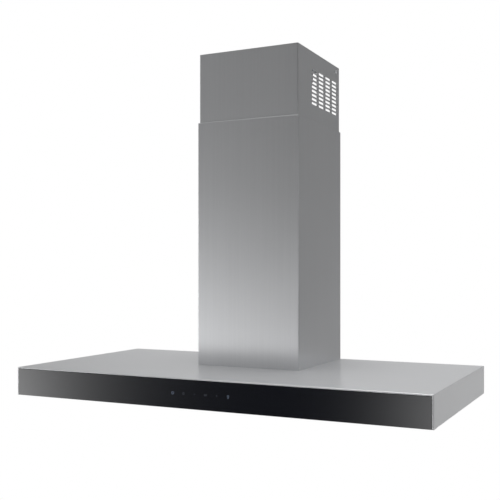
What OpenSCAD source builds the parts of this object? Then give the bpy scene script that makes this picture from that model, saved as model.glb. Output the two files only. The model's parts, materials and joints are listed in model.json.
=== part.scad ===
// Wall chimney range hood: a flat folded steel canopy with a black glass front, three baffle
// filters underneath, a centrifugal blower in a steel box, and two telescoping chimney covers.
// The origin is the middle of the wall face at the level of the underside. +Z is up, the wall
// is the plane y = 0 and the glass faces -Y.

/* [Canopy] */
// Width of the canopy
canopy_w = 900; // [700:10:1200]
// Depth of the canopy, from the wall to the glass
canopy_d = 460; // [380:5:560]
// Height of the canopy box
canopy_h = 60; // [50:1:90]
// Thickness of the folded steel sheet
sheet_t = 1; // [0.8:0.1:1.2]
// Width of the returns folded in at the underside
return_w = 12; // [8:1:16]
// Visible steel edge around the glass
edge_w = 2.5; // [2:0.1:4]
// Side of the inlet hole under the motor box, across the canopy
throat_w = 200; // [160:5:206]
// Length of the inlet hole, from front to back
throat_d = 190; // [150:5:200]

/* [Glass front] */
// Thickness of the glass
glass_t = 4; // [3:0.5:6]
// Thickness of the bonding tape behind the glass
tape_t = 1; // [0.8:0.1:1.6]
// Length of the touch board
touch_w = 150; // [150:5:200]
// Height of the touch board
touch_h = 22; // [18:1:24]

/* [Chimney covers] */
// Width of the lower cover
lower_w = 240; // [238:1:270]
// Depth of the lower cover
lower_d = 256; // [254:1:280]
// Height of the lower cover above the canopy
lower_h = 532; // [480:2:600]
// Gap on each side between the two covers
cover_gap = 2; // [1.5:0.25:3]
// Length of the upper cover
upper_h = 480; // [440:5:600]
// How far the upper cover stands above the lower one at rest
upper_rise = 150; // [130:5:170]
// Width of the folds at the back edges of the covers
cover_fold = 6; // [4:1:14]
// Height of the bracket's wall flange, inside the top of the upper cover
bracket_h = 24; // [18:1:30]
// Width of that flange
bracket_w = 100; // [80:2:110]

/* [Vents] */
// Number of vent columns on each side
vent_columns = 4; // [2:1:4]
// Number of vent rows
vent_rows = 9; // [3:1:9]
// Length of a vent slot
vent_l = 30; // [20:1:34]
// Height of a vent slot
vent_t = 5; // [3:0.5:6]
// Distance between vent columns
vent_pitch_y = 41.25; // [38:0.25:44]
// Distance between vent rows
vent_pitch_z = 8.9; // [8:0.1:10]
// Distance from the top of the cover to the first row
vent_drop = 40; // [36:1:44]

/* [Filters] */
// Number of filters across the canopy
filter_n = 3; // [3:1:3]
// Height of a filter
filter_h = 10; // [9:0.5:12]
// Gap around each filter
filter_gap = 1.5; // [1.2:0.1:2]
// Steel left beside the filters, from the canopy side
filter_side = 30; // [24:1:50]
// Steel strip in front of the filters, which holds the lamps
front_strip = 105; // [96:1:130]
// Steel strip behind the filters
rear_strip = 35; // [28:1:60]
// Width of the filter's folded frame
frame_w = 14; // [10:1:18]
// Width of the frame's front strip, which holds the latch
latch_strip = 40; // [38:1:46]
// Number of lower baffles in each filter
baffle_n = 10; // [6:1:12]
// Travel of the filter latch
latch_travel = 5; // [4:0.5:6]

/* [Lamps] */
// Distance of each lamp from the middle
lamp_x = 300; // [220:5:310]
// Radius of the lamp bezel
lamp_r = 34; // [28:1:36]
// Height of the lamp can
lamp_h = 26; // [20:1:30]

/* [Motor box and outlet] */
// Gap between the motor box and the upper cover around it
box_gap = 6; // [5:0.5:8]
// Height of the motor box
box_h = 260; // [250:1:280]
// Distance from the wall to the back of the motor box
box_back = 14; // [12:1:15]
// Outer radius of the outlet collar
collar_r = 75; // [73:0.5:76]
// Height of the outlet collar
collar_h = 60; // [56:1:70]
// Wall of the outlet collar
collar_t = 1.5; // [1.2:0.1:2]
// Radius of the damper pin
pin_r = 2; // [1.5:0.1:2.5]
// Running clearance of every turning fit, on the radius
run_gap = 0.06; // [0.03:0.01:0.1]
// Radius of the wall bolt holes
wall_hole_r = 4; // [3:0.25:5]
// Distance between the wall bolt holes, across
wall_bolts_x = 180; // [160:5:184]
// Distance between the wall bolt holes, up and down
wall_bolts_z = 240; // [200:5:260]

/* [Blower] */
// Outer radius of the impeller
wheel_r = 68; // [60:1:68]
// Width of the impeller
wheel_w = 100; // [80:2:104]
// Number of impeller blades
blade_n = 32; // [20:2:40]
// Width of the scroll housing
scroll_w = 118; // [114:1:124]
// Wall of the scroll housing
scroll_t = 2; // [1.5:0.5:3]
// Radius of the motor
motor_r = 42; // [36:1:44]
// Radius of the motor shaft
shaft_r = 4; // [3:0.5:5]

/* [Hidden] */
$fn = 64;

PLACES = ["left", "middle", "right"];
eps = 0.01;             // overrun of a cut past the face it leaves
hole_gap = 0.1;         // clearance of a screw in its hole, on the radius
screw_r = 1.5;          // thread of the small screws
fit_gap = 0.5;          // clearance between pieces that are fitted by hand

// Canopy
half_w = canopy_w / 2;
inner_x = half_w - sheet_t;
inner_top = canopy_h - sheet_t;
rail_y = -canopy_d + glass_t + tape_t;      // front face of the front rail
rail_flange = 13;
pan_z = sheet_t;                            // underside of the intake pan
pan_t = 1;
pan_top = pan_z + pan_t;
throat_back = 35;                           // from the wall to the inlet hole
pan_screw_head = 3.3;
pan_screw_end = 40;                         // from the wall, and from the glass, to the end screws
pan_screw_n = 4;                            // along each side
glass_x = half_w - edge_w;
glass_low = 0.5;
glass_high = canopy_h - edge_w - fit_gap;
touch_z = canopy_h / 2;
touch_board_t = 1.6;
touch_window = 2;                           // gap around the touch board in the rail
tape_w = 8;
tape_end = 8;                               // from the end of the glass to the tape
tape_edge = 3;                              // from the edge of the glass to the tape
housing_x = touch_w / 2 + 8;
housing_z = touch_h / 2 + 6;
housing_wall = 1.5;
housing_d = 12;

// Filters
open_x = half_w - filter_side;              // half the width of the filter opening
open_front = -canopy_d + front_strip;
open_back = -rear_strip;
upstand = 14;                               // height of the folded edge round the opening
filter_w = (2 * open_x - (filter_n + 1) * filter_gap) / filter_n;
filter_pitch = filter_w + filter_gap;
filter_back = open_back - filter_gap;
filter_front = open_front + filter_gap;
filter_z = pan_top;
frame_t = 1;
tab_w = 20;
tab_t = 0.8;
tab_z = filter_z + 0.2;                     // underside of the hook tabs, and the hinge line
tab_reach = filter_gap + 5.5;
tab_offset = filter_w * 0.32;
tab_window_h = 9;
tab_window_gap = 2;                         // gap beside the tab in its window
latch_w = 62;
latch_t = 2;
latch_grip_w = 28;
latch_grip_d = 10;
latch_shoulder = 10;                        // the tongue is this much narrower on each side
latch_drop = 1.4;                           // the finger grip hangs this far below the frame
latch_tongue = filter_gap - fit_gap;        // how far the tongue stands out of the frame
latch_z = filter_z + frame_t + 0.3;
latch_d = 16;
latch_y = filter_front + frame_t + 0.4;     // front edge of the latch plate
pocket_y = filter_front + latch_strip - 4;  // wall behind the latch
spring_w = 24;
spring_t = 0.6;
spring_h = 3;
spring_folds = 3;
baffle_fill = 0.64;                         // width of a baffle, as a share of their pitch
baffle_t = 0.8;
bar_w = 3;                                  // cross bars that tie the baffles together

// Lamps
lamp_y = -canopy_d + front_strip / 2 + 2;
bezel_lip = sheet_t;                        // the bezel ends level with the underside
can_r = lamp_r - 4.5;
can_t = 1;
lens_low = bezel_lip + 0.3;
lens_t = 2.5;
board_t = 1.6;

// Control box
control_w = 140;
control_d = 62;
control_x = -150;
control_y = -canopy_d + 61;
control_low = 19;
control_t = 1.2;
control_post = 12;                          // height of the posts that hold the board

// Motor box and outlet
box_z = canopy_h;
box_top = box_z + box_h;
box_x = lower_w / 2 - 2 * sheet_t - cover_gap - box_gap;
box_front = -lower_d + 2 * sheet_t + cover_gap + box_gap;
box_d = -box_back - box_front;
box_flange = 6;
box_screw_x = box_x + box_flange / 2;
box_screw_end = 20;
tongue_r = wheel_r + 8;                     // scroll radius at the cut-off
scroll_r = wheel_r + 30;                    // scroll radius where it leaves for the outlet
axis_y = box_front + sheet_t + tongue_r + 19;       // impeller axis
axis_z = box_top - 140;
tongue_angle = 120;
duct_front = axis_y + tongue_r * cos(tongue_angle);
duct_back = axis_y + scroll_r;
collar_y = (duct_front + duct_back) / 2;
collar_flange_t = 1.2;
// the collar's screws stand clear of the collar and of the scroll's outlet below it
collar_screw_r = max(collar_r + 5, (duct_back - duct_front) / 2 + 4);
collar_flange_r = collar_screw_r + 5;
outlet_r = collar_r - 7;
pin_z = box_top + 12;
knuckle_r = pin_r + 1.2;
flap_t = 1;
ledge_w = 3;
ledge_h = 3;
ledge_drop = 3.5;                           // from the closed flaps down to the ledge's underside
flap_r = collar_r - collar_t - 0.7;
flap_clear = knuckle_r + 1.3;               // the flap's plate starts this far from the pin
plate_t = 2;
plate_x = wall_bolts_x / 2 + 10;
plate_low = box_z + 2;
plate_high = box_top + 62;
bolts_mid_z = box_z + 160;
spacer_r = 8;
spacer_x = 60;
spacer_end = 30;                            // from the ends of the motor box
gland_x = -85;
gland_y = axis_y - 62;
gland_r = 9;
gland_bore_r = 4.2;

// Blower
wheel_disc_t = 2;
blade_in = wheel_r - 14;
inlet_r = blade_in + 2;
motor_x0 = -scroll_w / 2 - 2;               // outer face of the motor
motor_x1 = -15;
bush_t = 2;
arm_r = inlet_r + 7;
arm_w = 12;
arm_angles = [30, 150, 270];
arm_hole_r = 2;
cap_r = 15;
cap_h = 62;
cap_low = 150;
clip_h = 12;
cap_x = box_x - cap_r - 5;
cap_y = box_front + cap_r + 25;

// Covers
lower_x = lower_w / 2;
lower_top = canopy_h + lower_h;
upper_x = lower_x - sheet_t - cover_gap;
upper_front = -lower_d + sheet_t + cover_gap;
upper_back = -sheet_t - cover_gap + 1;
upper_top = lower_top + upper_rise;
upper_low = upper_top - upper_h;
vent_y0 = -160;
screw_y = -23.5;
screw_z = upper_top - 12;
cover_screw_r = 2;
cover_screw_head = 3.4;
bracket_x = upper_x - sheet_t - cover_fold - 2;
bracket_t = 2;
bracket_arm = 40;                           // from the wall to the front of the bracket
bracket_ear = 28;                           // width of the ears that the cover is screwed to
ceiling_bolt_x = bracket_w / 2 - 15;
ceiling_bolt_r = 3;
base_h = 22;
base_back = 30;
glide_w = 20;
glide_drop = 30;
lead_r = 2.5;
lead_corner = 0.3;      // how much fuller a lead is where it turns

// A box between two opposite corners
module block(a, b) {
    translate(a) cube(b - a);
}

// A profile drawn in (y, z), carried along X from x0 to x1
module along_x(x0, x1) {
    translate([x0, 0, 0]) rotate([90, 0, 90]) linear_extrude(x1 - x0) children();
}

// A profile drawn in (x, z), carried along Y from y0 to y1
module along_y(y0, y1) {
    translate([0, y1, 0]) rotate([90, 0, 0]) linear_extrude(y1 - y0) children();
}

// A cylinder along X
module round_x(x0, x1, y, z, r) {
    translate([x0, y, z]) rotate([0, 90, 0]) cylinder(h = x1 - x0, r = r);
}

// A cylinder along Y
module round_y(y0, y1, x, z, r) {
    translate([x, y1, z]) rotate([90, 0, 0]) cylinder(h = y1 - y0, r = r);
}

// A cylinder along Z
module round_z(z0, z1, x, y, r) {
    translate([x, y, z0]) cylinder(h = z1 - z0, r = r);
}

// A round-ended slot, drawn flat
module slot(length, width) {
    square([length - width, width], center = true);
    for (s = [-1, 1]) translate([s * (length - width) / 2, 0]) circle(width / 2);
}

// A lead of round cross-section through the given corners
module lead(points, r) {
    for (i = [0 : len(points) - 2]) {
        run = points[i + 1] - points[i];
        length = norm(run);
        translate(points[i])
            rotate([0, acos(run[2] / length), atan2(run[1], run[0])])
                cylinder(h = length, r = r);
    }
    for (i = [1 : len(points) - 2]) translate(points[i]) sphere(r + lead_corner);
}

// Places of the screws that hold the intake pan, in the side returns
pan_screw_x = half_w - sheet_t - return_w / 2;
pan_screw_y = [
    for (i = [0 : pan_screw_n - 1])
        -pan_screw_end - i * (canopy_d - 2 * pan_screw_end) / (pan_screw_n - 1)
];

// Folded canopy: top, sides and back, open at the front, with narrow returns underneath
module canopy_shell() {
    color("silver")
        difference() {
            block([-half_w, -canopy_d, 0], [half_w, 0, canopy_h]);
            block([-inner_x, -canopy_d + sheet_t, sheet_t], [inner_x, -sheet_t, inner_top]);
            // underside between the returns
            block([-inner_x + return_w, -canopy_d - 1, -1],
                  [inner_x - return_w, -sheet_t - return_w, sheet_t + eps]);
            // front, which the glass closes
            block([-glass_x - fit_gap, -canopy_d - 1, -1],
                  [glass_x + fit_gap, -canopy_d + sheet_t + eps, canopy_h - edge_w]);
            block([-inner_x, -canopy_d + sheet_t, -1],
                  [inner_x, rail_y + sheet_t + rail_flange, sheet_t + eps]);
            // inlet hole
            block([-throat_w / 2, -throat_back - throat_d, inner_top - 1],
                  [throat_w / 2, -throat_back, canopy_h + 1]);
            for (s = [-1, 1], y = pan_screw_y)
                round_z(-1, sheet_t + 1, s * pan_screw_x, y, pan_screw_head + 0.3);
        }
}

// Folded channel that stiffens the front and carries the glass
module front_rail() {
    web_back = rail_y + sheet_t;
    color("silver")
        difference() {
            union() {
                block([-inner_x, rail_y, 0], [inner_x, web_back, inner_top]);
                block([-inner_x, web_back - eps, 0], [inner_x, web_back + rail_flange - eps, sheet_t]);
                block([-inner_x, web_back - eps, inner_top - sheet_t],
                      [inner_x, web_back + rail_flange - eps, inner_top]);
            }
            block([-touch_w / 2 - touch_window, rail_y - 1, touch_z - touch_h / 2 - touch_window],
                  [touch_w / 2 + touch_window, web_back + 1, touch_z + touch_h / 2 + touch_window]);
            for (s = [-1, 1])
                round_z(-1, sheet_t + 1, s * pan_screw_x, pan_screw_y[pan_screw_n - 1], pan_screw_head + 0.3);
        }
}

// Toughened glass, flush with the steel edges
module front_glass() {
    color([0.05, 0.05, 0.06])
        block([-glass_x, -canopy_d, glass_low], [glass_x, -canopy_d + glass_t, glass_high]);
}

// Two strips of tape between the glass and the rail
module glass_tape() {
    x = glass_x - tape_end;
    color("black")
        for (z = [glass_low + tape_edge, glass_high - tape_edge - tape_w])
            block([-x, -canopy_d + glass_t, z], [x, rail_y, z + tape_w]);
}

// Circuit board with the touch pads, pressed against the back of the glass
module touch_board() {
    front = -canopy_d + glass_t;
    color("green")
        block([-touch_w / 2, front, touch_z - touch_h / 2],
              [touch_w / 2, front + touch_board_t, touch_z + touch_h / 2]);
}

// Plastic housing screwed behind the window in the rail
module touch_housing() {
    x = housing_x;
    z = housing_z;
    y = rail_y + sheet_t;
    color("dimgray")
        difference() {
            block([-x, y, touch_z - z], [x, y + housing_d, touch_z + z]);
            block([-x + housing_wall, y - 1, touch_z - z + housing_wall],
                  [x - housing_wall, y + housing_d - housing_wall, touch_z + z - housing_wall]);
        }
}

// Inner sheet of the underside, with a folded edge round the filters
module intake_pan() {
    x = inner_x - fit_gap;
    front = rail_y + sheet_t + fit_gap;
    back = -sheet_t - fit_gap;
    color("lightgray")
        difference() {
            union() {
                block([-x, front, pan_z], [x, back, pan_top]);
                block([-open_x - sheet_t, open_front - sheet_t, pan_z],
                      [open_x + sheet_t, open_back + sheet_t, pan_top + upstand]);
            }
            block([-open_x, open_front, 0], [open_x, open_back, pan_top + upstand + 1]);
            for (i = [0 : filter_n - 1], s = [-1, 1])
                translate([filter_x(i) + s * tab_offset, open_back, pan_top])
                    block([-tab_w / 2 - tab_window_gap, -1, eps],
                          [tab_w / 2 + tab_window_gap, sheet_t + 1, tab_window_h]);
            for (s = [-1, 1]) round_z(0, pan_top + 1, s * lamp_x, lamp_y, can_r + can_t + fit_gap);
            for (s = [-1, 1], y = pan_screw_y)
                round_z(0, pan_top + 1, s * pan_screw_x, y, screw_r + hole_gap);
        }
}

// Countersunk-flush screws through the returns into the pan
module pan_screws() {
    color("silver")
        for (s = [-1, 1], y = pan_screw_y) {
            round_z(0.1, sheet_t, s * pan_screw_x, y, pan_screw_head);
            round_z(sheet_t - 0.5, pan_top + 5, s * pan_screw_x, y, screw_r);
        }
}

// Ring that frames a lamp and clips into the pan
module lamp_bezel(side) {
    color("silver")
        translate([side * lamp_x, lamp_y, 0])
            difference() {
                union() {
                    cylinder(h = bezel_lip, r = lamp_r);
                    cylinder(h = 5, r = can_r - 0.2);
                }
                translate([0, 0, -1]) cylinder(h = 2 + bezel_lip - 0.4, r = can_r - 4);
                translate([0, 0, bezel_lip + 0.3]) cylinder(h = 5, r = can_r - 2);
            }
}

// Frosted lens that sits inside the bezel
module lamp_lens(side) {
    color("white")
        translate([side * lamp_x, lamp_y, 0])
            round_z(lens_low, lens_low + lens_t, 0, 0, can_r - 2.2);
}

// Aluminium can around the lamp, which is also its heat sink
module lamp_can(side) {
    color("gray")
        translate([side * lamp_x, lamp_y, pan_z])
            difference() {
                cylinder(h = lamp_h, r = can_r + can_t);
                translate([0, 0, -1]) cylinder(h = lamp_h + 1 - can_t, r = can_r);
            }
}

// Board with the lamp's light-emitting diodes
module lamp_board(side) {
    color("ivory")
        translate([side * lamp_x, lamp_y, pan_z + lamp_h - can_t - board_t])
            cylinder(h = board_t, r = can_r - 1);
}

// Closed steel box under the top panel that holds the electronics
module control_box() {
    x0 = control_x - control_w / 2;
    y0 = control_y - control_d / 2;
    color("darkgray")
        difference() {
            block([x0, y0, control_low + control_t], [x0 + control_w, y0 + control_d, inner_top]);
            block([x0 + control_t, y0 + control_t, control_low],
                  [x0 + control_w - control_t, y0 + control_d - control_t, inner_top - control_t]);
        }
}

// Cover of the control box
module control_lid() {
    x0 = control_x - control_w / 2;
    y0 = control_y - control_d / 2;
    color("gray")
        block([x0, y0, control_low], [x0 + control_w, y0 + control_d, control_low + control_t]);
}

// Main circuit board on four posts
module control_board() {
    x = control_w / 2 - 6;
    y = control_d / 2 - 6;
    color("darkgreen")
        translate([control_x, control_y, inner_top - control_t - control_post]) {
            block([-x, -y, 0], [x, y, board_t]);
            for (sx = [-1, 1], sy = [-1, 1])
                round_z(board_t - 0.1, control_post, sx * (x - 5), sy * (y - 5), 3);
        }
}

// Threaded gland that the supply lead enters through
module mains_gland() {
    color("dimgray")
        translate([gland_x, gland_y, box_top])
            difference() {
                union() {
                    translate([0, 0, -8]) cylinder(h = 9, r = gland_r - 2);
                    cylinder(h = 5, r = gland_r, $fn = 6);
                    translate([0, 0, 4]) cylinder(h = 10, r = gland_r - 1.5);
                }
                translate([0, 0, -9]) cylinder(h = 24, r = gland_bore_r);
            }
}

// Places of the screws through the flange of the motor box
box_screw_y = [for (i = [0 : 2]) box_front + box_screw_end + i * (box_d / 2 - box_screw_end)];

// Steel box that encloses the blower, open at the bottom
module motor_box() {
    color("lightsteelblue")
        difference() {
            union() {
                block([-box_x, box_front, box_z], [box_x, -box_back, box_top]);
                block([-box_x - box_flange, box_front, box_z], [box_x + box_flange, -box_back, box_z + sheet_t]);
            }
            block([-box_x + sheet_t, box_front + sheet_t, box_z - 1],
                  [box_x - sheet_t, -box_back - sheet_t, box_top - sheet_t]);
            round_z(box_top - 2, box_top + 1, 0, collar_y, outlet_r);
            round_z(box_top - 2, box_top + 1, gland_x, gland_y, gland_r - 2 + hole_gap);
            for (s = [-1, 1], y = box_screw_y)
                round_z(box_z - 1, box_z + 2, s * box_screw_x, y, screw_r + hole_gap);
            for (a = [0 : 90 : 270])
                translate([0, collar_y, box_top - 2]) rotate([0, 0, a])
                    round_z(0, 3, collar_screw_r, 0, screw_r + hole_gap);
        }
}

// Screws of the motor box and of the outlet collar
module blower_screws() {
    color("silver") {
        for (s = [-1, 1], y = box_screw_y) {
            round_z(box_z + sheet_t, box_z + sheet_t + 1.8, s * box_screw_x, y, 2.6);
            round_z(box_z + eps, box_z + sheet_t + 0.5, s * box_screw_x, y, screw_r);
        }
        top = box_top + collar_flange_t;
        for (a = [0 : 90 : 270])
            translate([0, collar_y, 0]) rotate([0, 0, a]) {
                round_z(top, top + 1.8, collar_screw_r, 0, 2.8);
                round_z(box_top - 4, top + 0.5, collar_screw_r, 0, screw_r);
            }
    }
}

// Plate that hangs the hood on four wall bolts
module wall_plate() {
    color("lightsteelblue")
        difference() {
            block([-plate_x, -plate_t, plate_low], [plate_x, 0, plate_high]);
            for (sx = [-1, 1], sz = [-1, 1])
                round_y(-plate_t - 1, 1, sx * wall_bolts_x / 2, bolts_mid_z + sz * wall_bolts_z / 2,
                        wall_hole_r);
        }
}

// Round spacers between the wall plate and the motor box
module wall_spacers() {
    color("silver")
        for (sx = [-1, 1], sz = [-1, 1])
            round_y(-box_back, -plate_t, sx * spacer_x, box_z + box_h / 2 + sz * (box_h / 2 - spacer_end),
                    spacer_r);
}

// Outlet collar: a flange on the motor box, a round neck and a ledge that the flaps close on
module outlet_collar() {
    ledge_z = pin_z - flap_t / 2 - ledge_drop;
    color("gainsboro")
        difference() {
            union() {
                round_z(box_top, box_top + collar_flange_t, 0, collar_y, collar_flange_r);
                round_z(box_top, box_top + collar_h, 0, collar_y, collar_r);
            }
            round_z(box_top - 1, ledge_z, 0, collar_y, collar_r - collar_t);
            round_z(ledge_z - eps, ledge_z + ledge_h + eps, 0, collar_y, collar_r - collar_t - ledge_w);
            round_z(ledge_z + ledge_h, box_top + collar_h + 1, 0, collar_y, collar_r - collar_t);
            round_y(collar_y - collar_r - 1, collar_y + collar_r + 1, 0, pin_z, pin_r);
            for (a = [0 : 90 : 270])
                translate([0, collar_y, 0]) rotate([0, 0, a])
                    round_z(box_top - 1, box_top + 3, collar_screw_r, 0, screw_r + hole_gap);
        }
}

// Pin that both damper flaps turn on
module damper_pin() {
    color("silver") round_y(collar_y - collar_r + 0.3, collar_y + collar_r - 0.3, 0, pin_z, pin_r);
}

// Half-round damper flap with two knuckles on the pin; side is 1 for the right flap
module flap(side) {
    knuckle = 10;
    starts = side > 0 ? [-52, 20] : [-30, 42];
    color("whitesmoke")
        difference() {
            union() {
                difference() {
                    round_z(pin_z - flap_t / 2, pin_z + flap_t / 2, 0, collar_y, flap_r);
                    translate([side > 0 ? -200 + flap_clear : -flap_clear, collar_y - 100, pin_z - 5])
                        cube([200, 200, 10]);
                }
                for (y = starts) {
                    round_y(collar_y + y, collar_y + y + knuckle, 0, pin_z, knuckle_r);
                    block([side > 0 ? 0 : -flap_clear - 1, collar_y + y, pin_z - flap_t / 2],
                          [side > 0 ? flap_clear + 1 : 0, collar_y + y + knuckle, pin_z + flap_t / 2]);
                }
            }
            round_y(collar_y - 100, collar_y + 100, 0, pin_z, pin_r + run_gap);
        }
}

// Outline of the scroll in (y, z): the radius grows evenly from the cut-off to the back wall
function scroll_points(grow) = [
    for (i = [0 : 36])
        let (t = i / 36, a = tongue_angle + t * (360 - tongue_angle),
             r = tongue_r + t * (scroll_r - tongue_r) + grow)
            [axis_y + r * cos(a), axis_z + r * sin(a)]
];

// Scroll outline with its straight outlet up to the top of the motor box
module scroll_shape(grow) {
    top = box_top - sheet_t;
    tongue = scroll_points(grow)[0];
    polygon(concat(scroll_points(grow), [[duct_back + grow, top], [tongue[0], top]]));
}

// Half of the scroll housing, on one side of the impeller's middle plane
module scroll(side) {
    outer = scroll_w / 2;
    color("darkslategray")
        difference() {
            along_x(min(0, side * outer), max(0, side * outer)) scroll_shape(0);
            along_x(min(-1, side * (outer - scroll_t)), max(1, side * (outer - scroll_t)))
                scroll_shape(-scroll_t);
            // opening at the top of the outlet
            block([min(-1, side * (outer - scroll_t)), duct_front + scroll_t, box_top - 20],
                  [max(1, side * (outer - scroll_t)), duct_back - scroll_t, box_top]);
            round_x(min(0, side * (outer + 1)), max(0, side * (outer + 1)), axis_y, axis_z, inlet_r);
        }
}

// One forward-curved blade, drawn flat across the wheel
module blade() {
    bow = 9;
    intersection() {
        translate([(blade_in + wheel_r) / 2 - 1, -bow + 2])
            difference() {
                circle(bow);
                circle(bow - 0.8);
            }
        translate([blade_in + 1, -3]) square([wheel_r - blade_in - 2, 8]);
    }
}

// Double-inlet wheel: blades between two rings, joined by a disc with a hub
module impeller() {
    half = wheel_w / 2;
    color("slategray")
        translate([0, axis_y, axis_z]) rotate([90, 0, 90])
            difference() {
                union() {
                    translate([0, 0, -half]) linear_extrude(wheel_w)
                        for (i = [0 : blade_n - 1]) rotate(i * 360 / blade_n) blade();
                    for (z = [-half, half - 3])
                        translate([0, 0, z]) difference() {
                            cylinder(h = 3, r = wheel_r);
                            translate([0, 0, -1]) cylinder(h = 5, r = blade_in + 6);
                        }
                    translate([0, 0, -wheel_disc_t / 2]) cylinder(h = wheel_disc_t, r = wheel_r - 2);
                    translate([0, 0, -8]) cylinder(h = 16, r = shaft_r + 6);
                }
                translate([0, 0, -10]) cylinder(h = 20, r = shaft_r);
            }
}

// Motor can with its two bearing bores
module motor_housing() {
    color("silver")
        difference() {
            round_x(motor_x0, motor_x1, axis_y, axis_z, motor_r);
            round_x(motor_x0 + 4, motor_x1 - 4, axis_y, axis_z, motor_r - 2);
            round_x(motor_x0 - 1, motor_x1 + 1, axis_y, axis_z, shaft_r + run_gap);
        }
}

// Laminated stator pressed into the motor can
module motor_stator() {
    color("peru")
        difference() {
            round_x(motor_x0 + 10, motor_x1 - 8, axis_y, axis_z, motor_r - 2);
            round_x(motor_x0 + 9, motor_x1 - 7, axis_y, axis_z, motor_r * 0.55);
        }
}

// Rotor pressed on the shaft
module motor_rotor() {
    color("gray")
        difference() {
            round_x(motor_x0 + 11, motor_x1 - 9, axis_y, axis_z, motor_r * 0.55 - 0.5);
            round_x(motor_x0 + 10, motor_x1 - 8, axis_y, axis_z, shaft_r);
        }
}

// Shaft from the motor to the impeller's hub
module motor_shaft() {
    color("lightgray") round_x(motor_x0 + 0.5, 10, axis_y, axis_z, shaft_r);
}

// Three-armed bracket that carries the motor across the left inlet
module motor_bracket() {
    color("silver")
        translate([motor_x0 - bush_t, axis_y, axis_z]) rotate([90, 0, 90])
            difference() {
                union() {
                    cylinder(h = bush_t, r = motor_r - 4);
                    for (a = arm_angles)
                        rotate(a) translate([0, -arm_w / 2, 0]) cube([arm_r + 7, arm_w, bush_t]);
                }
                translate([0, 0, -1]) cylinder(h = 5, r = 18);
                for (a = arm_angles) rotate(a) translate([arm_r, 0, -1]) cylinder(h = 5, r = arm_hole_r);
            }
}

// Rubber bushes between the bracket's arms and the scroll
module motor_bushes() {
    color("black")
        translate([motor_x0, axis_y, axis_z]) rotate([90, 0, 90])
            for (a = arm_angles)
                rotate(a) translate([arm_r, 0, 0]) difference() {
                    cylinder(h = bush_t, r = arm_w / 2 - 0.5);
                    translate([0, 0, -1]) cylinder(h = 5, r = arm_hole_r);
                }
}

// Run capacitor of the motor
module capacitor() {
    color("white") round_z(box_z + cap_low, box_z + cap_low + cap_h, cap_x, cap_y, cap_r);
}

// Clip that holds the capacitor to the side of the motor box
module capacitor_clip() {
    z = box_z + cap_low + 20;
    color("silver")
        difference() {
            union() {
                round_z(z, z + clip_h, cap_x, cap_y, cap_r + 1);
                block([cap_x, cap_y - clip_h / 2, z], [box_x - sheet_t, cap_y + clip_h / 2, z + clip_h]);
            }
            round_z(z - 1, z + clip_h + 1, cap_x, cap_y, cap_r + hole_gap);
        }
}

// U-shaped cover from z0 to z1 with folded back edges; x is its half width
module cover_channel(x, front, back, z0, z1) {
    difference() {
        block([-x, front, z0], [x, back, z1]);
        block([-x + sheet_t, front + sheet_t, z0 - 1], [x - sheet_t, back - sheet_t, z1 + 1]);
        block([-x + sheet_t + cover_fold, back - sheet_t - 1, z0 - 1],
              [x - sheet_t - cover_fold, back + 1, z1 + 1]);
    }
}

// Lower chimney cover, standing on the canopy
module lower_cover() {
    color("silver") cover_channel(lower_x, -lower_d, 0, canopy_h, lower_top);
}

// Upper chimney cover, which telescopes inside the lower one
module upper_cover() {
    color("silver")
        difference() {
            cover_channel(upper_x, upper_front, upper_back, upper_low, upper_top);
            for (c = [0 : vent_columns - 1], r = [0 : vent_rows - 1])
                along_x(-upper_x - 1, upper_x + 1)
                    translate([vent_y0 + c * vent_pitch_y, upper_top - vent_drop - r * vent_pitch_z])
                        slot(vent_l, vent_t);
            round_x(-upper_x - 1, upper_x + 1, screw_y, screw_z, cover_screw_r + hole_gap);
        }
}

// Bracket at the ceiling: a flat strip with a flange on the wall and an ear on each side, which
// the upper cover is screwed to
module top_bracket() {
    high = upper_top - 2;
    low = high - bracket_h;
    ear = upper_x - sheet_t;
    color("lightsteelblue")
        difference() {
            union() {
                block([-bracket_x, -bracket_arm, high - bracket_t], [bracket_x, 0, high]);
                block([-ear, -bracket_arm, high - bracket_t],
                      [ear, -bracket_arm + bracket_ear, high]);
                block([-bracket_w / 2, -bracket_t, low], [bracket_w / 2, 0, high]);
                for (s = [-1, 1])
                    block([min(s * ear, s * (ear - bracket_t)), -bracket_arm, screw_z - 8],
                          [max(s * ear, s * (ear - bracket_t)), -bracket_arm + bracket_ear, high]);
            }
            round_x(-ear - 1, ear + 1, screw_y, screw_z, cover_screw_r + hole_gap);
            for (s = [-1, 1])
                round_y(-bracket_t - 1, 1, s * ceiling_bolt_x, low + bracket_h / 2, ceiling_bolt_r);
        }
}

// Pan-head screws that fix the upper cover to its bracket
module cover_screws() {
    color("gainsboro")
        for (s = [0, 1]) mirror([s, 0, 0]) {
            round_x(upper_x, upper_x + 1.6, screw_y, screw_z, cover_screw_head);
            round_x(upper_x - 9, upper_x + 0.5, screw_y, screw_z, cover_screw_r);
        }
}

// Angle bracket on the canopy that the lower cover slips over
module base_bracket() {
    x = lower_x - sheet_t;
    front = -lower_d + sheet_t;
    color("silver")
        difference() {
            block([-x, front, canopy_h], [x, -base_back, canopy_h + base_h]);
            block([-x + sheet_t, front + sheet_t, canopy_h - 1], [x - sheet_t, 0, canopy_h + base_h + 1]);
        }
}

// Plastic strips that keep the two covers apart
module glide_strips() {
    t = cover_gap - 0.6;
    low = lower_top - glide_drop;
    high = low + glide_w;
    x = lower_x - sheet_t;
    front = -lower_d + sheet_t;
    color("white")
        for (s = [0, 1]) mirror([s, 0, 0]) {
            block([x - t, front + 30, low], [x, front + 30 + glide_w, high]);
            block([x - t, -60, low], [x, -60 + glide_w, high]);
            block([60, front, low], [60 + glide_w, front + t, high]);
        }
}

// Middle of a filter, counted from the left
function filter_x(i) = (i - (filter_n - 1) / 2) * filter_pitch;

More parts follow.
